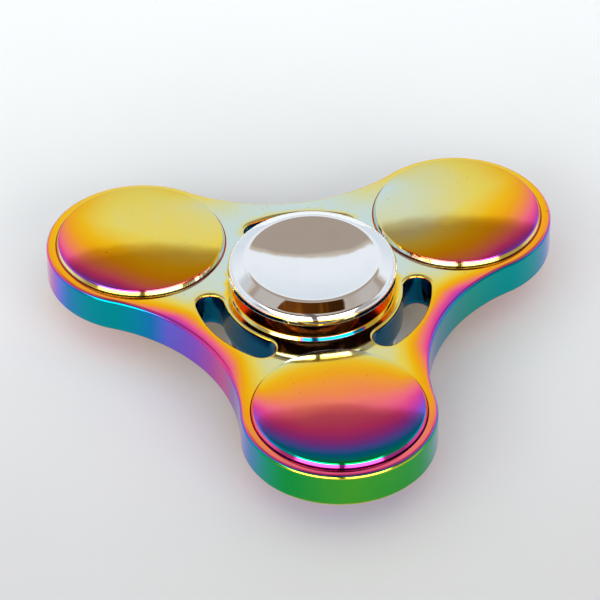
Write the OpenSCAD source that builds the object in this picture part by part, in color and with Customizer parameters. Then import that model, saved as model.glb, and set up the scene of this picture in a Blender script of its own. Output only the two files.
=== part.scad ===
// Three-lobed fidget spinner: a plated rotor on a small ball bearing, held between two finger caps.
// The origin is the bearing's centre on the spin axis. +Z is the spin axis, and -Y is the front lobe.

/* [Rotor frame] */
// Thickness of the frame plate
frame_t = 5; // [4.8:0.1:6]
// Spin axis to the middle of each lobe
lobe_offset = 24.6; // [23.5:0.1:26]
// Outer radius of each lobe
lobe_r = 12.6; // [12:0.1:13]
// Spin axis to the nearest point of the hollow between two lobes
waist_r = 18.1; // [17:0.1:18.5]
// Radius of the raised collar round the bearing
collar_r = 11; // [9:0.1:11.3]
// Height of the collar above the plate, on each side
collar_rise = 0.5; // [0.3:0.1:1.6]

/* [Curved slots] */
// Spin axis to the middle of each slot's width
slot_mid_r = 13.8; // [13.7:0.05:14]
// Width of each slot
slot_w = 3.6; // [2.5:0.1:3.7]
// Half of the angle between a slot's two end centres
slot_half_angle = 23.8; // [15:0.2:24]

/* [Lobe discs] */
// Radius of each domed disc
disc_r = 11.2; // [10:0.05:11.3]
// Height of the disc's upright rim above the plate
disc_rim_rise = 0.8; // [0.6:0.1:1.8]
// Height of the dome above its rim
disc_dome_rise = 0.85; // [0.4:0.05:1.4]
// Radius of the spigot pressed into the lobe
spigot_r = 9.5; // [6:0.1:9.8]

/* [Finger caps] */
// Outer radius of each cap
cap_r = 11.1; // [9:0.1:12]
// Mid-plane to the cap's inner face
cap_inner_z = 5.05; // [4.8:0.05:6.4]
// Height of the cap's upright wall
cap_wall = 1.45; // [1:0.05:2]
// Height of the bevel above the wall
cap_bevel_rise = 1; // [0.6:0.05:1.4]
// Radius where the bevel meets the flat crest
crest_outer_r = 9; // [8.7:0.05:9.4]
// Radius of the dished finger seat
seat_r = 8.55; // [7:0.05:8.6]
// Depth of the finger seat at its middle
seat_depth = 1; // [0.4:0.05:1.2]
// Radius of the fixing screw on the bottom cap, to the tops of its threads
screw_r = 2; // [1.5:0.1:2.4]

/* [Ball bearing] */
// Bore of the inner race
bearing_bore = 6.35; // [6.35]
// Outside diameter of the outer race
bearing_od = 12.7; // [12.7]
// Width of both races
bearing_w = 4.762; // [4.762]
// Diameter of each ball
ball_d = 1.5875; // [1.5875]
// Running clearance between a ball and each race
ball_clearance = 0.015; // [0.01:0.005:0.03]

/* [Hidden] */
$fn = 128;
FRAME_COLOUR = "goldenrod";
CHROME_COLOUR = "gainsboro";
STEEL_COLOUR = "silver";
CUT = 0.1;                  // how far a cutter runs past the face it cuts
JOIN = 0.01;                // arcs that would only touch overlap by this much
BALLS = 10;
LOBES = [["front", -90], ["right", 30], ["left", 150]];

frame_top = frame_t / 2;
// Each hollow is an arc tangent to both of its lobes, centred opposite the third lobe.
hollow_offset = (pow(lobe_offset, 2) - pow(waist_r - lobe_r, 2)) / (lobe_offset - 2 * (waist_r - lobe_r));
hollow_r = hollow_offset - waist_r;
SLOT_WEDGE_REACH = 25;

disc_rim_z = frame_top + disc_rim_rise;
disc_top_z = disc_rim_z + disc_dome_rise;
dome_sphere_r = (pow(disc_r, 2) + pow(disc_dome_rise, 2)) / (2 * disc_dome_rise);

cap_edge = 0.25;            // small bevel on the cap's inner rim
cap_wall_top = cap_inner_z + cap_wall;
crest_z = cap_wall_top + cap_bevel_rise;
seat_sphere_r = (pow(seat_r, 2) + pow(seat_depth, 2)) / (2 * seat_depth);
shoulder_r = 3.9;           // boss on the cap that clamps the inner race
bore_fit = 0.025;           // radial clearance of the cap's spigot in the inner race
screw_engagement = 4.4;
screw_hole_depth = 4.8;

ball_r = ball_d / 2;
race_mid_z = bearing_w / 2;
pitch_r = (bearing_bore + bearing_od) / 4;
groove_r = 0.83;            // section radius of both raceways
inner_land_r = 4.35;
outer_land_r = 5.175;
race_edge = 0.25;           // small bevel on the races' corners
inner_groove_centre = pitch_r - ball_r - ball_clearance + groove_r;
outer_groove_centre = pitch_r + ball_r + ball_clearance - groove_r;

shield_z = 1.85;            // mid-plane to the shield's inner face
shield_t = 0.2;
shield_inner_r = inner_land_r + 0.1;
shield_outer_r = 5.75;
clip_t = 0.22;
clip_inner_r = 5.45;
clip_outer_r = 5.9;
clip_gap_angle = 30;

cage_inner_r = 4.47;
cage_outer_r = 5.06;
cage_back_z = -1.15;
cage_front_z = 0.45;
pocket_r = ball_r + 0.045;

function two_digits(i) = i < 10 ? str("0", i) : str(i);
function ball_name(i) = str("bearing_ball_", two_digits(i));
function disc_name(lobe, side) = str("lobe_disc_", lobe[0], "_", side);
function polar(r, angle) = [r * cos(angle), r * sin(angle)];

// Places its child on the underside, as a mirror image of the top one.
module underside() {
    mirror([0, 0, 1]) children();
}

// Outline of the plate: three round lobes joined by three hollow arcs.
module frame_outline() {
    for (lobe = LOBES) rotate(lobe[1]) translate([lobe_offset, 0]) circle(r = lobe_r);
    difference() {
        polygon([for (lobe = LOBES) each [polar(lobe_offset, lobe[1]), polar(hollow_offset, lobe[1] + 60)]]);
        for (lobe = LOBES) rotate(lobe[1] + 60) translate([hollow_offset, 0]) circle(r = hollow_r + JOIN);
    }
}

// A curved slot with round ends, centred on the +X axis.
module slot_outline() {
    intersection() {
        difference() {
            circle(r = slot_mid_r + slot_w / 2);
            circle(r = slot_mid_r - slot_w / 2);
        }
        polygon([[0, 0], polar(SLOT_WEDGE_REACH, -slot_half_angle), polar(SLOT_WEDGE_REACH, slot_half_angle)]);
    }
    for (side = [-1, 1]) rotate(side * slot_half_angle) translate([slot_mid_r, 0]) circle(r = slot_w / 2 + JOIN);
}

module rotor_frame() {
    color(FRAME_COLOUR) difference() {
        union() {
            translate([0, 0, -frame_top]) linear_extrude(frame_t) frame_outline();
            cylinder(r = collar_r, h = frame_t + 2 * collar_rise, center = true);
        }
        cylinder(d = bearing_od, h = frame_t + 4 * collar_rise, center = true);
        for (lobe = LOBES) {
            rotate(lobe[1]) translate([lobe_offset, 0, 0])
                cylinder(r = spigot_r, h = frame_t + 2 * CUT, center = true);
            translate([0, 0, -frame_top - CUT]) linear_extrude(frame_t + 2 * CUT)
                rotate(lobe[1] + 60) slot_outline();
        }
    }
}

// A domed disc on the top of a lobe, with a spigot that reaches the mid-plane.
module lobe_disc(lobe) {
    color(FRAME_COLOUR) translate([polar(lobe_offset, lobe[1])[0], polar(lobe_offset, lobe[1])[1], 0]) {
        cylinder(r = spigot_r, h = frame_top);
        intersection() {
            translate([0, 0, frame_top]) cylinder(r = disc_r, h = disc_top_z - frame_top + CUT);
            translate([0, 0, disc_top_z - dome_sphere_r]) sphere(r = dome_sphere_r);
        }
    }
}

// Section of a race: a square-cornered band with small bevels, from inner_r to outer_r.
module race_section(inner_r, outer_r) {
    polygon([
        [inner_r + race_edge, -race_mid_z], [outer_r - race_edge, -race_mid_z],
        [outer_r, race_edge - race_mid_z], [outer_r, race_mid_z - race_edge],
        [outer_r - race_edge, race_mid_z], [inner_r + race_edge, race_mid_z],
        [inner_r, race_mid_z - race_edge], [inner_r, race_edge - race_mid_z]
    ]);
}

module bearing_inner_race() {
    color(STEEL_COLOUR) rotate_extrude() difference() {
        race_section(bearing_bore / 2, inner_land_r);
        translate([inner_groove_centre, 0]) circle(r = groove_r);
    }
}

// Seat for a shield, with the groove that holds its clip, on the top side.
module shield_seat() {
    translate([0, shield_z]) square([shield_outer_r, race_mid_z]);
    translate([0, shield_z + shield_t]) square([clip_outer_r, clip_t]);
}

module bearing_outer_race() {
    color(STEEL_COLOUR) rotate_extrude() difference() {
        race_section(outer_land_r, bearing_od / 2);
        translate([outer_groove_centre, 0]) circle(r = groove_r);
        shield_seat();
        mirror([0, 1]) shield_seat();
    }
}

module ball_at(i) {
    rotate(i * 360 / BALLS) translate([pitch_r, 0, 0]) children();
}

module bearing_ball(i) {
    color(CHROME_COLOUR) ball_at(i) sphere(d = ball_d);
}

// Crown cage: a ring with one open pocket for each ball.
module bearing_cage() {
    color("peru") difference() {
        translate([0, 0, cage_back_z]) cylinder(r = cage_outer_r, h = cage_front_z - cage_back_z);
        translate([0, 0, cage_back_z - CUT]) cylinder(r = cage_inner_r, h = cage_front_z - cage_back_z + 2 * CUT);
        for (i = [1:BALLS]) ball_at(i) sphere(r = pocket_r);
    }
}

module bearing_shield() {
    color(STEEL_COLOUR) translate([0, 0, shield_z]) difference() {
        cylinder(r = shield_outer_r, h = shield_t);
        translate([0, 0, -CUT]) cylinder(r = shield_inner_r, h = shield_t + 2 * CUT);
    }
}

// Split spring ring that holds a shield in the outer race.
module shield_clip() {
    color(STEEL_COLOUR) rotate(clip_gap_angle / 2) rotate_extrude(angle = 360 - clip_gap_angle)
        translate([clip_inner_r, shield_z + shield_t]) square([clip_outer_r - clip_inner_r, clip_t]);
}

// Solid cap with its shoulder and bearing spigot, on the top side.
module cap_blank() {
    rotate_extrude() polygon([
        [0, cap_inner_z], [cap_r - cap_edge, cap_inner_z], [cap_r, cap_inner_z + cap_edge],
        [cap_r, cap_wall_top], [crest_outer_r, crest_z], [0, crest_z]
    ]);
    translate([0, 0, race_mid_z]) cylinder(r = shoulder_r, h = cap_inner_z - race_mid_z + CUT);
    cylinder(r = bearing_bore / 2 - bore_fit, h = race_mid_z + CUT);
}

module seat_dish() {
    translate([0, 0, crest_z - seat_depth + seat_sphere_r]) sphere(r = seat_sphere_r);
}

module finger_cap_top() {
    color(CHROME_COLOUR) difference() {
        cap_blank();
        seat_dish();
        translate([0, 0, -CUT]) cylinder(r = screw_r, h = screw_hole_depth + CUT);
    }
}

module finger_cap_bottom() {
    color(CHROME_COLOUR) {
        underside() difference() {
            cap_blank();
            seat_dish();
        }
        translate([0, 0, -CUT]) cylinder(r = screw_r, h = screw_engagement + CUT);
    }
}

rotor_frame();
for (lobe = LOBES) {
    lobe_disc(lobe);
    underside() lobe_disc(lobe);
}
bearing_outer_race();
bearing_inner_race();
bearing_cage();
for (i = [1:BALLS]) bearing_ball(i);
bearing_shield();  // bearing_shield_top
underside() bearing_shield();  // bearing_shield_bottom
shield_clip();  // shield_clip_top
underside() shield_clip();  // shield_clip_bottom
finger_cap_top();
finger_cap_bottom();
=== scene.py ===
"""Looks of the fidget spinner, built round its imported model.

Sizes are written in millimetres and turned into metres with MM. The rotor's plate is meshed from its
edge profiles. The lobe discs and finger caps are turned parts, made by one node tree. The bearing
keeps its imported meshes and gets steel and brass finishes.
"""

import math

import bmesh
import bpy
import numpy as np
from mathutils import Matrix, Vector
from mathutils.geometry import delaunay_2d_cdt


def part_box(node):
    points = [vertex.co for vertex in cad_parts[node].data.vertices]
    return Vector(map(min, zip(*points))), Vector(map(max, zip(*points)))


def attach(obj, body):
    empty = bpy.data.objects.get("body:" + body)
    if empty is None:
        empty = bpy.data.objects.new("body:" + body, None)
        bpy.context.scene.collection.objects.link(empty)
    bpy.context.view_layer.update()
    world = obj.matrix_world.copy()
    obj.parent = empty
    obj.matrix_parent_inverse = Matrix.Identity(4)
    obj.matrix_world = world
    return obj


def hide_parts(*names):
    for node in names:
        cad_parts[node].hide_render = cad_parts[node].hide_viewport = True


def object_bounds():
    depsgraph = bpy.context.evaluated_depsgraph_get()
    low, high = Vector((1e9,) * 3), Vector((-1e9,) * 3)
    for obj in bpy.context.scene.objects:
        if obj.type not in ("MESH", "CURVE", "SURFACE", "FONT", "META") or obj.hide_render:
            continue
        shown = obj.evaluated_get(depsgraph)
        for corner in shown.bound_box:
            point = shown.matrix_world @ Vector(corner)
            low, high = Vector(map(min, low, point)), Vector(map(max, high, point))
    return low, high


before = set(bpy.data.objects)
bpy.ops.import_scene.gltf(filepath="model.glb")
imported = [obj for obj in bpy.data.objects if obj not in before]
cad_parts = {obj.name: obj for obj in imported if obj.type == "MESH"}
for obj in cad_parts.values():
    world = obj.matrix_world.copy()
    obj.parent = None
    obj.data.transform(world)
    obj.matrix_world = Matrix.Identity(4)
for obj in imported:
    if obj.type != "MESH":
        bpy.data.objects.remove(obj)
cad_low, cad_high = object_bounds()

MM = 0.001
LOBES = {"front": -90, "right": 30, "left": 150}


# ---------------------------------------------------------------- sizes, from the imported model

def corners(node):
    """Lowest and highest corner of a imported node, in millimetres."""
    low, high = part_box(node)
    return np.array(low) / MM, np.array(high) / MM


disc_low, disc_high = corners("lobe_disc_front_top")
plate_low, plate_high = corners("rotor_frame")
cap_low, cap_high = corners("finger_cap_top")
race_low, race_high = corners("bearing_outer_race")

DISC_R = (disc_high[0] - disc_low[0]) / 2
LOBE_OFFSET = -(disc_high[1] + disc_low[1]) / 2
LOBE_R = -plate_low[1] - LOBE_OFFSET
DOME_TOP = disc_high[2]
COLLAR_TOP = plate_high[2]
BEARING_R = race_high[0]
CAP_R = cap_high[0]
CREST_TOP = cap_high[2]
FLOOR_Z = cad_low[2] / MM

WAIST_R = 18.1
PLATE_TOP = 2.5
PLATE_FILLET = 0.5
COLLAR_R = 11.0
SPIGOT_R = 9.5
GROOVE_R = DISC_R + 0.14
GROOVE_DEPTH = 0.15
SLOT_MID_R = 13.8
SLOT_HALF_WIDTH = 1.8
SLOT_HALF_ANGLE = 23.8
SLOT_FILLET = 0.4
DISC_RIM_TOP = DOME_TOP - 0.85
DISC_SHOULDER = 0.3
DISC_SHOULDER_DROP = 0.56
SHOULDER_START = 0.17
SHOULDER_FULL = 0.23
CAP_WALL_TOP = CREST_TOP - 1.0
CAP_UNDERSIDE = CAP_WALL_TOP - 1.45
CREST_R = 9.0
CREST_FILLET = 1.4
CREST_ROUNDING = 0.07
SEAT_R = 8.55
SEAT_DEPTH = 1.0
SHOULDER_R = 3.9
SPINDLE_R = 3.15
STUD_R = 2.0
BEARING_HALF_WIDTH = 2.381
HOLLOW_OFFSET = (LOBE_OFFSET ** 2 - (WAIST_R - LOBE_R) ** 2) / (LOBE_OFFSET - 2 * (WAIST_R - LOBE_R))
HOLLOW_R = HOLLOW_OFFSET - WAIST_R


# ---------------------------------------------------------------- shader trees

class Wire:
    """An output socket whose arithmetic adds Math nodes to its tree."""

    def __init__(self, tree, socket):
        self.tree = tree
        self.socket = socket

    def maths(self, operation, *others):
        return self.tree.node("ShaderNodeMath", {"operation": operation}, dict(enumerate((self,) + others)))

    def __add__(self, other):
        return self.maths("ADD", other)

    def __sub__(self, other):
        return self.maths("SUBTRACT", other)

    def __mul__(self, other):
        return self.maths("MULTIPLY", other)

    def __truediv__(self, other):
        return self.maths("DIVIDE", other)

    def __pow__(self, other):
        return self.maths("POWER", other)

    def ramp(self, low, high):
        """0 below low, 1 above high, with a smooth step between."""
        return self.tree.node(
            "ShaderNodeMapRange",
            {"interpolation_type": "SMOOTHSTEP", "clamp": True},
            {"Value": self, "From Min": low, "From Max": high},
        )


class Tree:
    """The node tree of a material or world, emptied and ready for new nodes."""

    def __init__(self, owner):
        owner.use_nodes = True
        self.tree = owner.node_tree
        self.tree.nodes.clear()

    def node(self, kind, settings=None, values=None, output=0):
        made = self.tree.nodes.new(kind)
        for name, value in (settings or {}).items():
            if name == "stops":
                fill_ramp(made.color_ramp, value)
            else:
                setattr(made, name, value)
        for name, value in (values or {}).items():
            if isinstance(value, Wire):
                self.tree.links.new(value.socket, made.inputs[name])
            else:
                made.inputs[name].default_value = value
        return Wire(self, made.outputs[output]) if len(made.outputs) else None

    def place(self):
        """Object coordinates in millimetres."""
        spot = self.node("ShaderNodeTexCoord", output="Object")
        return self.node("ShaderNodeVectorMath", {"operation": "SCALE"}, {0: spot, "Scale": 1 / MM})

    def split(self, vector):
        first = self.node("ShaderNodeSeparateXYZ", values={0: vector})
        return [Wire(self, first.socket.node.outputs[i]) for i in range(3)]

    def stretched(self, vector, scale):
        return self.node("ShaderNodeVectorMath", {"operation": "MULTIPLY"}, {0: vector, 1: scale})

    def noise(self, vector, scale, detail=2.0, roughness=0.5):
        values = {"Vector": vector, "Scale": scale, "Detail": detail, "Roughness": roughness}
        return self.node("ShaderNodeTexNoise", values=values)

    def mix(self, share, first, second):
        return self.node("ShaderNodeMix", {"data_type": "RGBA"}, {0: share, 6: first, 7: second}, output=2)

    def bump(self, height, depth, normal=None):
        """A bump whose height of 1 stands depth millimetres proud."""
        values = {"Height": height, "Strength": 1.0, "Distance": depth * MM}
        if normal is not None:
            values["Normal"] = normal
        return self.node("ShaderNodeBump", values=values)


def fill_ramp(ramp, stops):
    while len(ramp.elements) < len(stops):
        ramp.elements.new(1.0)
    for element, (position, colour) in zip(ramp.elements, stops):
        element.position = position
        element.color = colour


def linear(red, green, blue):
    """A colour given as 0 to 255 display values."""
    def one(value):
        value = value / 255
        return value / 12.92 if value <= 0.04045 else ((value + 0.055) / 1.055) ** 2.4
    return (one(red), one(green), one(blue), 1.0)


def finish(name, base, roughness, metallic, **extra):
    """A material named name; base, roughness and metallic are functions of its tree or plain values."""
    material = bpy.data.materials.new(name)
    tree = Tree(material)
    values = {"Metallic": metallic, "Base Color": base, "Roughness": roughness, **extra}
    values = {socket: made(tree) if callable(made) else made for socket, made in values.items()}
    shader = tree.node("ShaderNodeBsdfPrincipled", values=values)
    tree.node("ShaderNodeOutputMaterial", values={"Surface": shader})
    return material


# The order in which the film's colours follow each other as it gets thicker.
FILM_COLOURS = [
    (0.00, (206, 228, 234)),
    (0.06, (224, 222, 168)),
    (0.12, (244, 217, 90)),
    (0.19, (253, 194, 14)),
    (0.25, (255, 170, 14)),
    (0.31, (255, 142, 78)),
    (0.37, (255, 110, 132)),
    (0.43, (240, 74, 148)),
    (0.49, (200, 66, 178)),
    (0.55, (148, 82, 212)),
    (0.61, (92, 110, 226)),
    (0.68, (16, 128, 196)),
    (0.76, (0, 150, 168)),
    (0.83, (0, 162, 126)),
    (0.90, (12, 164, 72)),
    (0.95, (84, 180, 48)),
    (1.00, (228, 222, 72)),
]


def film_base(tree):
    place = tree.place()
    cloudy = tree.noise(place, 0.09, 3.0) - 0.5
    streaky = tree.noise(tree.stretched(place, (0.9, 0.25, 0.5)), 0.7, 4.0) - 0.5
    film = tree.node("ShaderNodeAttribute", {"attribute_name": "film"}, output="Fac")
    stops = [(position, linear(*colour)) for position, colour in FILM_COLOURS]
    thickness = film + cloudy * 0.05 + streaky * 0.016
    rainbow = tree.node("ShaderNodeValToRGB", {"stops": stops}, {"Fac": thickness})
    specks = tree.noise(place, 1.9, 1.0).ramp(0.775, 0.8)
    marked = tree.mix(specks * 0.55, rainbow, linear(96, 70, 60))
    # Deeper inside the slots the colour is mixed towards dark teal: painted shade in the recesses, on a coating
    # that is also duller and rougher there.
    dull = tree.node("ShaderNodeAttribute", {"attribute_name": "dull"}, output="Fac")
    return tree.mix(dull * 0.85, marked, linear(6, 78, 108))


def film_roughness(tree):
    smudges = tree.noise(tree.place(), 0.22, 4.0)
    dull = tree.node("ShaderNodeAttribute", {"attribute_name": "dull"}, output="Fac")
    return smudges * 0.09 + 0.035 + dull * 0.12


def film_normal(tree):
    place = tree.place()
    wall = tree.node("ShaderNodeAttribute", {"attribute_name": "wall"}, output="Fac")
    swell = tree.noise(place, 0.2, 1.0)
    peel = tree.noise(place, 4.6, 2.0) * (wall * 0.93 + 0.07)
    scratch = tree.noise(tree.stretched(place, (0.6, 5.0, 5.0)), 0.8, 3.0).ramp(0.66, 0.72)
    first = tree.bump(swell, 0.016)
    second = tree.bump(peel, 0.008, first)
    return tree.bump(scratch, -0.0008, second)


def chrome_roughness(tree):
    return tree.noise(tree.place(), 0.3, 5.0).ramp(0.35, 0.75) * 0.05 + 0.025


def chrome_base(tree):
    smudge = tree.noise(tree.place(), 0.25, 4.0).ramp(0.45, 0.8)
    return tree.mix(smudge * 0.25, linear(246, 246, 248), linear(228, 226, 228))


def chrome_normal(tree):
    place = tree.place()
    first = tree.bump(tree.noise(place, 0.16, 1.0), 0.012)
    return tree.bump(tree.noise(place, 1.1, 3.0), 0.0006, first)


def turning_marks(tree, per_mm):
    """Fine rings round the spin axis, as a lathe tool leaves them."""
    x, y, z = tree.split(tree.place())
    radius = (x * x + y * y) ** 0.5
    along = tree.node("ShaderNodeCombineXYZ", values={"X": radius, "Y": z})
    return tree.noise(along, per_mm, 2.0)


def metal(name, light, dark, roughness, marks_per_mm):
    """A turned metal with rings round the axis in its colour, gloss and relief."""
    def base(tree):
        return tree.mix(turning_marks(tree, marks_per_mm), linear(*dark), linear(*light))

    def gloss(tree):
        return turning_marks(tree, marks_per_mm * 0.5) * 0.16 + roughness

    def relief(tree):
        return tree.bump(turning_marks(tree, marks_per_mm), 0.002)

    return finish(name, base, gloss, 1.0, Normal=relief)


plating = finish("rainbow_plating", film_base, film_roughness, 1.0, Normal=film_normal)
chrome = finish("polished_chrome", chrome_base, chrome_roughness, 1.0, Normal=chrome_normal)
bearing_steel = metal("bearing_steel", (222, 222, 226), (178, 178, 184), 0.16, 9.0)
shield_steel = metal("shield_steel", (206, 206, 208), (160, 160, 164), 0.22, 6.0)
ball_steel = metal("ball_steel", (236, 236, 240), (214, 214, 218), 0.03, 2.0)
cage_brass = metal("cage_brass", (214, 172, 92), (170, 122, 56), 0.22, 8.0)


# ---------------------------------------------------------------- film thickness

DOME_TILT = 0.1516
EDGE_BAND = 5.5
TEAL = 0.79


def share(value, start, end):
    """0 at start and before it, 1 at end and beyond, straight between."""
    return np.clip((value - start) / (end - start), 0, 1)


def film_on_collar(places, normals):
    """Gold on top of the collar, pale on its sloped side, with a blue stretch at the front: partly film colour,
    partly a painted tint of the bright reflection seen there at rest.
    """
    x, y, z = places.T
    aside = normals[:, 0] / np.maximum(np.hypot(normals[:, 0], normals[:, 1]), 1e-6)
    # The blue stretch covers the front span where the bright reflection falls in the rest view, so it partly
    # paints that reflection's tint.
    blue = share(aside, -0.3, -0.25) * share(aside, 0.53, 0.48) * (y < 0)
    top = 0.2 + 0.06 * np.clip(COLLAR_R - np.hypot(x, y), 0, 2)
    side = 0.08 + 0.06 * np.clip(aside, 0, 1) + 0.63 * blue
    return top + (side - top) * share(np.abs(normals[:, 2]), 0.54, 0.48)


def film_on_wall(places, normals, near, hollow):
    """Thickest on walls that face front or back and on the front lobe, thinner in the left hollow."""
    x, y, z = places.T
    facing = share(np.abs(normals[:, 1]), 0, 0.8)
    left_hollow = hollow * share(-x, 0, 10) * share(near, 0, 1 / 3)
    at_top = share(np.abs(normals[:, 2]), 0, 0.4)
    wall = 0.5 + (TEAL - 0.5) * facing ** 2 * (3 - 2 * facing) - 0.0038 * y - 0.2 * left_hollow
    return wall + 0.1 * at_top * share(-y, 22, 32)


def film_on_plate(places, normals, edge_distance, edge_out, slot):
    """Film thickness on the plate, 0 to 1 along FILM_COLOURS: it grows outwards and towards the edge."""
    x, y, z = places.T
    radius = np.hypot(x, y)
    near = -edge_out[:, 1]
    level = np.abs(normals[:, 2])
    lobes = np.array([polar(LOBE_OFFSET, angle) for angle in LOBES.values()])
    from_lobe = np.sqrt(((places[:, None, :2] - lobes[None]) ** 2).sum(2)).min(1)
    hollow = share(from_lobe - LOBE_R, -0.4, 3.6)
    gain = (0.15 + 0.08 * near) * (1 - hollow) + (0.3 + 0.3 * near) * hollow
    at_edge = gain * share(edge_distance, EDGE_BAND, 0) ** 1.5
    flat = 0.03 + 0.0045 * (radius - 13) - 0.002 * y + at_edge
    wall = film_on_wall(places, normals, near, hollow)
    in_slot = flat * 0.6 + 0.06 + (0.68 - flat) * share(level, 1, 0.15) ** 3
    film = np.where(slot, in_slot, flat + (wall - flat) * share(level, 1, 0.6))
    return np.where(radius < COLLAR_R + 0.2, film_on_collar(places, normals), film)


def film_on_disc(places, normals):
    """Film thickness on a lobe disc, which gathers at its outer and front edge, and on its shoulder."""
    x, y, z = places.T
    radius = np.hypot(x, y)
    tilt = np.maximum(np.hypot(normals[:, 0], normals[:, 1]), 1e-6)
    outward = (normals[:, 0] * x + normals[:, 1] * y) / (tilt * np.maximum(radius, 1e-6))
    near = -normals[:, 1] / tilt
    rim = np.minimum(tilt / DOME_TILT, 1.03) ** 5
    back = share(y, -15, 3)
    gathered = (0.14 - 0.03 * back) * np.clip(2.5 * outward + 0.1, 0, 1) + (0.18 - 0.1 * back) * near
    front_and_out = (0.55 * normals[:, 0] * np.sign(x) - 0.83 * normals[:, 1]) / DOME_TILT
    lean = 0.16 * np.clip(front_and_out, 0, 1) * back
    face = 0.065 + 0.018 * (radius / 10) ** 2 - 0.0064 * y
    face = np.maximum(face, np.where(x < 0, 0.11, 0.05))
    top = face + gathered * rim + lean
    side = np.clip(0.1 + 0.0089 * (1.1 - y) + 0.05 * outward, 0, 1)
    return top + (side - top) * share(DISC_RIM_TOP - np.abs(z), SHOULDER_START, SHOULDER_FULL)


# ---------------------------------------------------------------- the rotor's plate

def bend(centre, height, radius, start, end, steps, hollow=False):
    """Stations (reach, z, normal along reach, normal along z) round a fillet, angles in degrees."""
    stations = []
    sign = -1 if hollow else 1
    for step in range(steps + 1):
        angle = math.radians(start + (end - start) * step / steps)
        away, up = math.cos(angle), math.sin(angle)
        stations.append((centre + radius * away, height + radius * up, sign * away, sign * up))
    return stations


def both_sides(top_half):
    """A station list for the top half, followed by its mirror image for the underside."""
    return top_half + [(reach, -z, along, -up) for reach, z, along, up in reversed(top_half)]


def arc(centre, radius, start, end, count, outwards=1):
    """count places on an arc, its end left out, and the direction out of the metal at each."""
    angles = np.radians(start + (end - start) * np.arange(count) / count)
    away = np.stack([np.cos(angles), np.sin(angles)], 1)
    return np.array(centre) + radius * away, outwards * away


def polar(radius, angle):
    return np.array([radius * math.cos(math.radians(angle)), radius * math.sin(math.radians(angle))])


def joined(arcs):
    return np.concatenate([a[0] for a in arcs]), np.concatenate([a[1] for a in arcs])


def plate_outline():
    """Edge of the plate: round lobes joined by hollow arcs."""
    to_hollow = polar(HOLLOW_OFFSET, 60) - np.array([LOBE_OFFSET, 0])
    lobe_half = math.degrees(math.atan2(to_hollow[1], to_hollow[0]))
    hollow_half = lobe_half - 60
    arcs = []
    for angle in sorted(LOBES.values()):
        arcs.append(arc(polar(LOBE_OFFSET, angle), LOBE_R, angle - lobe_half, angle + lobe_half, 120))
        middle = angle + 240
        centre = polar(HOLLOW_OFFSET, angle + 60)
        arcs.append(arc(centre, HOLLOW_R, middle + hollow_half, middle - hollow_half, 60, -1))
    return joined(arcs)


def slot_outline(angle):
    low, high = angle - SLOT_HALF_ANGLE, angle + SLOT_HALF_ANGLE
    outer, inner = SLOT_MID_R + SLOT_HALF_WIDTH, SLOT_MID_R - SLOT_HALF_WIDTH
    return joined([
        arc((0, 0), outer, low, high, 36, -1),
        arc(polar(SLOT_MID_R, high), SLOT_HALF_WIDTH, high, high + 180, 24, -1),
        arc((0, 0), inner, high, low, 30, 1),
        arc(polar(SLOT_MID_R, low), SLOT_HALF_WIDTH, low + 180, low + 360, 24, -1),
    ])


def edge_stations(fillet, steps):
    """Stations of a filleted upright edge; reach is measured out of the metal from the edge."""
    top = bend(-fillet, PLATE_TOP - fillet, fillet, 90, 0, steps)
    straight = (PLATE_TOP - fillet) / 3
    return both_sides(top + [(0, straight * 2, 1, 0), (0, straight, 1, 0)])


def collar_stations():
    """Stations from the plate up the collar, over its face and down to the bearing's seat."""
    foot, edge, bore, slant = 0.05, 0.2, 0.15, 28
    lean = polar(1, slant)
    start = np.array([COLLAR_R + foot, PLATE_TOP + foot]) - foot * lean
    middle = ((start - (0, COLLAR_TOP - edge)) @ lean - edge) / lean[0]
    rise = bend(COLLAR_R + foot, PLATE_TOP + foot, foot, 270, 180 + slant, 4, hollow=True)
    over = bend(middle, COLLAR_TOP - edge, edge, slant, 90, 8)
    width = middle - BEARING_R - bore
    face = [(middle - part * width, COLLAR_TOP, 0, 1) for part in (0.1, 0.35, 0.6, 0.85)]
    lip = bend(BEARING_R + bore, COLLAR_TOP - bore, bore, 90, 180, 5)
    return both_sides(rise + over + face + lip + [(BEARING_R, 1.0, -1, 0)])


def pocket_stations():
    """Stations of the groove round a disc and of the hole for its spigot."""
    lip = 0.08
    groove = bend(GROOVE_R + lip, PLATE_TOP - lip, lip, 90, 180, 4)
    bottom = PLATE_TOP - GROOVE_DEPTH
    floor_of_groove = [(GROOVE_R, bottom, -0.7, 0.7), (DISC_R - 0.3, bottom, 0, 1), (SPIGOT_R, bottom, -0.7, 0.7)]
    return both_sides(groove + floor_of_groove + [(SPIGOT_R, 1.0, -1, 0)])


def inside(places, loop):
    """Which places lie inside a closed loop."""
    result = np.zeros(len(places), bool)
    x, y = places[:, 0], places[:, 1]
    for (ax, ay), (bx, by) in zip(loop, np.roll(loop, -1, 0)):
        crosses = (ay > y) != (by > y)
        if ay != by:
            result ^= crosses & (x < (bx - ax) * (y - ay) / (by - ay) + ax)
    return result


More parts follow.
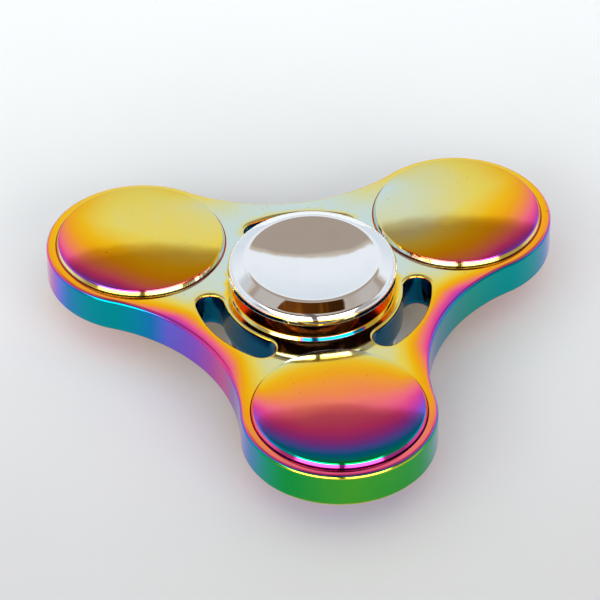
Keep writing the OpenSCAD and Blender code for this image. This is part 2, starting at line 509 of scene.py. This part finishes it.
def flat_fill(loops, spacing):
    """Triangles between the first loop and the rest, and the extra places they use."""
    low, high = loops[0].min(0), loops[0].max(0)
    rows = np.arange(low[1], high[1], spacing * 0.866)
    grid = np.array([
        (column + (row % 2) * spacing / 2, height)
        for row, height in enumerate(rows)
        for column in np.arange(low[0], high[0], spacing)
    ])
    keep = inside(grid, loops[0])
    for loop in loops[1:]:
        keep &= ~inside(grid, loop)
    edge = np.concatenate(loops)
    gaps = np.sqrt(((grid[:, None] - edge[None]) ** 2).sum(2)).min(1)
    grid = grid[keep & (gaps > spacing * 0.55)]
    links, first = [], 0
    for loop in loops:
        links += [(first + i, first + (i + 1) % len(loop)) for i in range(len(loop))]
        first += len(loop)
    places = np.concatenate([edge, grid])
    found = delaunay_2d_cdt([Vector(p) for p in places], links, [], 0, 1e-6)
    original = [group[0] for group in found[3]]
    triangles = np.array([[original[i] for i in face] for face in found[2]])
    middles = places[triangles].mean(1)
    keep = inside(middles, loops[0])
    for loop in loops[1:]:
        keep &= ~inside(middles, loop)
    return grid, triangles[keep]


def build_plate():
    """One closed mesh: a strip for every edge, collar and hole, and a flat between them on each side."""
    round_out = arc((0, 0), 1.0, 0, 360, 180)[1]
    slot_stations = edge_stations(SLOT_FILLET, 7)
    rims = [(plate_outline(), edge_stations(PLATE_FILLET, 10))]
    rims.append(((round_out * 0, round_out), collar_stations()))
    for angle in LOBES.values():
        rims.append(((round_out * 0 + polar(LOBE_OFFSET, angle), round_out), pocket_stations()))
        rims.append((slot_outline(angle + 60), slot_stations))

    places, normals, faces, tops, bottoms, in_slot = [], [], [], [], [], []
    count = 0
    for (base, out), stations in rims:
        size = len(base)
        in_slot.append(np.full(size * len(stations), stations == slot_stations))
        for reach, z, along, up in stations:
            places.append(np.column_stack([base + out * reach, np.full(size, z)]))
            normals.append(np.column_stack([out * along, np.full(size, up)]))
        for step in range(len(stations) - 1):
            row = count + step * size
            for i in range(size):
                j = (i + 1) % size
                faces.append((row + i, row + j, row + size + j, row + size + i))
        tops.append(np.arange(count, count + size))
        count += size * len(stations)
        bottoms.append(np.arange(count - size, count))
    flat = np.concatenate(places)
    extra, triangles = flat_fill([flat[t][:, :2] for t in tops], 0.8)
    for rings, side in ((tops, 1), (bottoms, -1)):
        numbers = np.concatenate(rings + [np.arange(count, count + len(extra))])
        faces += [tuple(t) for t in numbers[triangles]]
        places.append(np.column_stack([extra, np.full(len(extra), side * PLATE_TOP)]))
        normals.append(np.tile((0.0, 0.0, float(side)), (len(extra), 1)))
        count += len(extra)
    places, normals = np.concatenate(places), np.concatenate(normals)
    normals /= np.linalg.norm(normals, axis=1)[:, None]

    edge, edge_out = rims[0][0]
    gaps = np.sqrt(((places[:, None, :2] - edge[None]) ** 2).sum(2))
    nearest = gaps.argmin(1)
    slot = np.concatenate(in_slot + [np.zeros(2 * len(extra), bool)])
    film = film_on_plate(places, normals, gaps.min(1), edge_out[nearest], slot)
    wall = 1 - np.abs(normals[:, 2])
    # Inside the slots, growing with depth: painted shade in the colour, and a duller, rougher coating.
    dull = np.where(slot, np.clip((PLATE_TOP - 0.25 - np.abs(places[:, 2])) / 0.5, 0, 1), 0)
    return mesh_piece("rotor_frame_plated", places, faces, normals, {"film": film, "wall": wall, "dull": dull})


def outward(mesh):
    """Turns every face of a closed mesh outwards."""
    work = bmesh.new()
    work.from_mesh(mesh)
    bmesh.ops.recalc_face_normals(work, faces=work.faces)
    if work.calc_volume(signed=True) < 0:
        bmesh.ops.reverse_faces(work, faces=work.faces)
    work.to_mesh(mesh)
    work.free()


def add_numbers(mesh, name, numbers):
    layer = mesh.attributes.new(name, "FLOAT", "POINT")
    layer.data.foreach_set("value", np.asarray(numbers, np.float32))


def mesh_piece(name, places, faces, normals, numbers):
    mesh = bpy.data.meshes.new(name)
    mesh.from_pydata((places * MM).tolist(), [], [tuple(int(i) for i in face) for face in faces])
    outward(mesh)
    mesh.shade_smooth()
    mesh.normals_split_custom_set_from_vertices(normals.tolist())
    for attribute, values in numbers.items():
        add_numbers(mesh, attribute, values)
    piece = bpy.data.objects.new(name, mesh)
    bpy.context.scene.collection.objects.link(piece)
    return piece


# ---------------------------------------------------------------- turned parts

LATHE_PATH_R = 10.0
SHARP_ANGLE = 35


def lathe_tree():
    """Node tree that rounds a profile's corners, turns it round Z, moves it and keeps its sharp corners sharp."""
    tree = bpy.data.node_groups.new("turned_part", "GeometryNodeTree")
    face = tree.interface
    face.new_socket("Profile", in_out="INPUT", socket_type="NodeSocketGeometry")
    for name, kind, value in (
        ("Segments", "NodeSocketInt", 128),
        ("Fillet Steps", "NodeSocketInt", 6),
        ("Centre", "NodeSocketVector", (0, 0, 0)),
        ("Flipped", "NodeSocketBool", False),
        ("Finish", "NodeSocketMaterial", None),
    ):
        socket = face.new_socket(name, in_out="INPUT", socket_type=kind)
        if value is not None:
            socket.default_value = value
    face.new_socket("Part", in_out="OUTPUT", socket_type="NodeSocketGeometry")

    def node(kind, settings=None, values=None):
        made = tree.nodes.new(kind)
        for name, value in (settings or {}).items():
            setattr(made, name, value)
        for name, value in (values or {}).items():
            if hasattr(value, "is_output"):
                tree.links.new(value, made.inputs[name])
            else:
                made.inputs[name].default_value = value
        return made

    given = node("NodeGroupInput").outputs
    profile = node("GeometryNodeMeshToCurve", values={"Mesh": given["Profile"]})
    fillet = node("GeometryNodeInputNamedAttribute", {"data_type": "FLOAT"}, {"Name": "fillet"})
    rounded = node("GeometryNodeFilletCurve", {"mode": "POLY"}, {
        "Curve": profile.outputs[0],
        "Count": given["Fillet Steps"],
        "Radius": fillet.outputs["Attribute"],
        "Limit Radius": True,
    })
    path = node("GeometryNodeCurvePrimitiveCircle", values={
        "Resolution": given["Segments"],
        "Radius": LATHE_PATH_R * MM,
    })
    upright = node("GeometryNodeSetCurveNormal", {"mode": "Z_UP"}, {"Curve": path.outputs[0]})
    turned = node("GeometryNodeCurveToMesh", values={
        "Curve": upright.outputs[0],
        "Profile Curve": rounded.outputs[0],
    })
    welded = node("GeometryNodeMergeByDistance", values={"Geometry": turned.outputs[0], "Distance": 0.0005 * MM})
    placed = node("GeometryNodeTransform", values={"Geometry": welded.outputs[0], "Translation": given["Centre"]})
    facing = node("GeometryNodeFlipFaces", values={"Mesh": placed.outputs[0], "Selection": given["Flipped"]})
    smooth = node("GeometryNodeSetShadeSmooth", {"domain": "FACE"}, {"Geometry": facing.outputs[0]})
    bend_there = node("GeometryNodeInputMeshEdgeAngle")
    sharp = node("FunctionNodeCompare", {"data_type": "FLOAT", "operation": "GREATER_THAN"}, {
        0: bend_there.outputs["Unsigned Angle"],
        1: math.radians(SHARP_ANGLE),
    })
    creased = node("GeometryNodeSetShadeSmooth", {"domain": "EDGE"}, {
        "Geometry": smooth.outputs[0],
        "Selection": sharp.outputs[0],
        "Shade Smooth": False,
    })
    real = node("GeometryNodeRealizeInstances", values={"Geometry": creased.outputs[0]})
    finished = node("GeometryNodeSetMaterial", values={"Geometry": real.outputs[0], "Material": given["Finish"]})
    node("NodeGroupOutput", values={"Part": finished.outputs[0]})
    return tree


turned_part = lathe_tree()


def turn(name, profile, side, centre, finish_material, segments=160):
    """A piece turned from profile, a list of (radius, height, fillet); side is 1 on top and -1 below."""
    mesh = bpy.data.meshes.new(name + "_profile")
    points = [((radius - LATHE_PATH_R) * MM, side * height * MM, 0) for radius, height, _ in profile]
    mesh.from_pydata(points, [(i, i + 1) for i in range(len(points) - 1)], [])
    add_numbers(mesh, "fillet", [fillet * MM for _, _, fillet in profile])
    blank = bpy.data.objects.new(name + "_blank", mesh)
    bpy.context.scene.collection.objects.link(blank)
    modifier = blank.modifiers.new("turned_part", "NODES")
    modifier.node_group = turned_part
    inputs = {i.name: i.identifier for i in turned_part.interface.items_tree if i.in_out == "INPUT"}
    modifier[inputs["Segments"]] = segments
    modifier[inputs["Centre"]] = (centre[0] * MM, centre[1] * MM, 0.0)
    modifier[inputs["Flipped"]] = side > 0
    modifier[inputs["Finish"]] = finish_material
    weighted = blank.modifiers.new("even_normals", "WEIGHTED_NORMAL")
    weighted.weight = 90
    weighted.keep_sharp = True
    shape = bpy.data.meshes.new_from_object(blank.evaluated_get(bpy.context.evaluated_depsgraph_get()))
    bpy.data.objects.remove(blank)
    shape.name = name
    piece = bpy.data.objects.new(name, shape)
    bpy.context.scene.collection.objects.link(piece)
    return piece


def sphere_part(radius_out, height_mid, height_out, steps):
    """Places of a shallow spherical dome or dish, from the axis out, the last one left out."""
    rise = height_out - height_mid
    ball = (radius_out ** 2 + rise ** 2) / (2 * abs(rise))
    sign = math.copysign(1, rise)
    radii = [radius_out * step / steps for step in range(steps)]
    return [(r, height_mid + sign * (ball - math.sqrt(ball ** 2 - r ** 2)), 0) for r in radii]


def disc_profile():
    """Half section of a lobe disc: dome, sloped shoulder, upright side and spigot."""
    dome = sphere_part(DISC_R - DISC_SHOULDER, DOME_TOP, DISC_RIM_TOP, 22)
    slope = DISC_SHOULDER / DISC_SHOULDER_DROP
    edge = [
        (DISC_R - DISC_SHOULDER + slope * drop, DISC_RIM_TOP - drop, 0)
        for drop in (SHOULDER_START, SHOULDER_FULL)
    ]
    bottom = PLATE_TOP - GROOVE_DEPTH
    return dome + [(DISC_R - DISC_SHOULDER, DISC_RIM_TOP, 0.12)] + edge + [
        (DISC_R, DISC_RIM_TOP - DISC_SHOULDER_DROP, 0.1),
        (DISC_R, bottom, 0),
        (SPIGOT_R, bottom, 0),
        (SPIGOT_R, 0.005, 0),
        (0, 0.005, 0),
    ]


def cap_profile(core):
    """Half section of a finger cap, from its dished seat down to its spindle, ended by core."""
    crest = (SEAT_R + CREST_R) / 2
    corner = CREST_TOP + CREST_ROUNDING
    seat = sphere_part(crest, CREST_TOP - SEAT_DEPTH, corner, 20)
    return seat + [
        (crest, corner, CREST_FILLET),
        (CAP_R, CAP_WALL_TOP, 1.1),
        (CAP_R, CAP_UNDERSIDE, 0.2),
        (SHOULDER_R, CAP_UNDERSIDE, 0.3),
        (SHOULDER_R, BEARING_HALF_WIDTH, 0.1),
        (SPINDLE_R, BEARING_HALF_WIDTH, 0),
    ] + core


def give_film(piece):
    """Film thickness and wall share, for the plating's colour and relief."""
    mesh = piece.data
    places = np.array([v.co for v in mesh.vertices]) / MM
    normals = np.zeros((len(places), 3))
    corner = np.empty(len(mesh.loops) * 3)
    mesh.corner_normals.foreach_get("vector", corner)
    owners = np.empty(len(mesh.loops), int)
    mesh.loops.foreach_get("vertex_index", owners)
    np.add.at(normals, owners, corner.reshape(-1, 3))
    normals /= np.maximum(np.linalg.norm(normals, axis=1), 1e-9)[:, None]
    add_numbers(mesh, "film", film_on_disc(places, normals))
    add_numbers(mesh, "wall", 1 - np.abs(normals[:, 2]))


def take(piece, body, slot, *nodes):
    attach(piece, body)
    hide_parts(*nodes)


plate = build_plate()
plate.data.materials.append(plating)
take(plate, "rotor", "rainbow_plating", "rotor_frame")

for side, side_name in ((1, "top"), (-1, "bottom")):
    for lobe, angle in LOBES.items():
        disc = turn(f"domed_disc_{lobe}_{side_name}", disc_profile(), side, polar(LOBE_OFFSET, angle), plating)
        give_film(disc)
        take(disc, "rotor", "rainbow_plating", f"lobe_disc_{lobe}_{side_name}")

socket_core = [(SPINDLE_R, 0.02, 0.1), (STUD_R + 0.05, 0.02, 0), (STUD_R + 0.05, 4.9, 0), (0, 4.9, 0)]
stud_core = [(SPINDLE_R, 0.0, 0.1), (STUD_R, 0.0, 0), (STUD_R, -4.3, 0.2), (0, -4.3, 0)]
for side, side_name, core in ((1, "top", socket_core), (-1, "bottom", stud_core)):
    cap = turn(f"chrome_cap_{side_name}", cap_profile(core), side, (0, 0), chrome, 192)
    take(cap, "caps", "polished_chrome", f"finger_cap_{side_name}")

FINISHES = {
    "bearing_outer_race": bearing_steel,
    "bearing_inner_race": bearing_steel,
    "bearing_shield": shield_steel,
    "shield_clip": shield_steel,
    "bearing_cage": cage_brass,
    "bearing_ball": ball_steel,
}
for node_name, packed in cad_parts.items():
    for start, material in FINISHES.items():
        if node_name.startswith(start):
            packed.data.materials.clear()
            packed.data.materials.append(material)


# ---------------------------------------------------------------- floor, light and camera

OVERHEAD = (0.54, 0.48, 0.41, 1)


def build_floor():
    mesh = bpy.data.meshes.new("floor")
    reach = 4.0
    spots = [(-reach, -reach), (reach, -reach), (reach, reach), (-reach, reach)]
    mesh.from_pydata([(x, y, FLOOR_Z * MM) for x, y in spots], [], [(0, 1, 2, 3)])
    floor = bpy.data.objects.new("floor", mesh)
    bpy.context.scene.collection.objects.link(floor)

    # Painted light falloff: the floor's colour goes from greyer at the front to paler and bluer at the back,
    # along a wavy line.
    def pale(tree):
        place = tree.place()
        x, y, z = tree.split(place)
        soft = tree.noise(place, 0.02, 3.0) * 30.0 - 15.0
        return tree.mix((y + soft).ramp(-90.0, 110.0), linear(198, 198, 200), linear(236, 241, 244))

    mesh.materials.append(finish("pale_floor", pale, 0.9, 0.0))


def far_sky(tree, x, z, height):
    """Pale sky beyond the object, with a brown ceiling whose edge slopes up to the left."""
    outside = (x - 0.1).maths("ABSOLUTE")
    pale = (0.86, 0.91, 0.95, 1)
    sky = tree.mix(z.ramp(0.2, 0.62), (0.72, 0.79, 0.85, 1), pale)
    sky = tree.mix(z.ramp(0.58, 0.68) * outside.ramp(0.32, 0.5), sky, (0.60, 0.62, 0.64, 1))
    sky = tree.mix(height.ramp(0.675, 0.70), sky, (0.56, 0.49, 0.40, 1))
    sky = tree.mix(height.ramp(0.70, 0.73), sky, (0.40, 0.33, 0.275, 1))
    sky = tree.mix(height.ramp(0.74, 0.80) * outside.ramp(0.22, 0.4), sky, (0.53, 0.49, 0.45, 1))
    return tree.mix(height.ramp(0.93, 0.985), sky, OVERHEAD)


def near_sky(tree, x, z):
    """A bright window low on the camera's side, parted by a dark bar, with dim walls beside and above it."""
    sky = tree.mix(z.ramp(0.57, 0.63), (4.2, 4.3, 4.3, 1), (0.10, 0.07, 0.05, 1))
    sky = tree.mix(z.ramp(0.74, 0.9), sky, OVERHEAD)
    aside = (x + 0.085).maths("ABSOLUTE")
    sky = tree.mix(aside.ramp(0.04, 0.1), (0.15, 0.13, 0.12, 1), sky)
    return tree.mix(aside.ramp(0.72, 0.8), sky, (0.42, 0.41, 0.40, 1))


def build_sky():
    """A soft studio all round, with a small dark brown opening overhead."""
    world = bpy.data.worlds.new("studio")
    bpy.context.scene.world = world
    tree = Tree(world)
    towards = tree.node("ShaderNodeTexCoord", output="Generated")
    x, y, z = tree.split(towards)
    wobble = tree.noise(towards, 4.5, 4.0) * 0.11 - 0.055
    far = far_sky(tree, x, z, z + x * 0.1 + wobble)
    sky = tree.mix(y.ramp(-0.25, 0.0), near_sky(tree, x, z), far)
    across = ((x + 0.01 + wobble * 0.6).maths("ABSOLUTE") / 0.335) ** 5.0
    along = ((y - 0.01).maths("ABSOLUTE") / 0.165) ** 5.0
    streaks = tree.noise(tree.stretched(towards, (1.0, 0.2, 0.2)), 7.0, 3.0)
    brown = tree.mix(x.ramp(-0.3, 0.3), (0.13, 0.036, 0.005, 1), (0.04, 0.013, 0.002, 1))
    brown = tree.mix(streaks.ramp(0.45, 0.7), brown, (0.26, 0.085, 0.008, 1))
    sky = tree.mix((across + along).ramp(0.85, 1.2), brown, sky)
    light = tree.node("ShaderNodeBackground", values={"Color": sky, "Strength": 1.0})
    tree.node("ShaderNodeOutputWorld", values={"Surface": light})


def build_sun():
    """Lights the floor softly from above and stays out of the reflections."""
    lamp = bpy.data.lights.new("fill", "SUN")
    lamp.energy = 0.95
    lamp.angle = math.radians(95)
    sun = bpy.data.objects.new("fill", lamp)
    sun.rotation_euler = Vector((0.1, 0.1, -0.99)).to_track_quat("-Z", "Y").to_euler()
    sun.visible_glossy = False
    bpy.context.scene.collection.objects.link(sun)


def build_camera():
    camera = bpy.data.objects.new("camera", bpy.data.cameras.new("camera"))
    bpy.context.scene.collection.objects.link(camera)
    camera.data.sensor_width = 36
    camera.data.lens = 248
    camera.data.clip_start = 0.01
    camera.data.clip_end = 30
    camera.location = Vector((-57.84, -412.44, 350.80)) * MM
    looking = Vector((0.1033, 0.7581, -0.6440))
    camera.rotation_euler = looking.to_track_quat("-Z", "Y").to_euler()
    camera.rotation_euler.rotate_axis("Z", -0.004)
    bpy.context.scene.camera = camera


build_floor()
build_sky()
build_sun()
build_camera()
bpy.context.scene.view_settings.view_transform = "Standard"
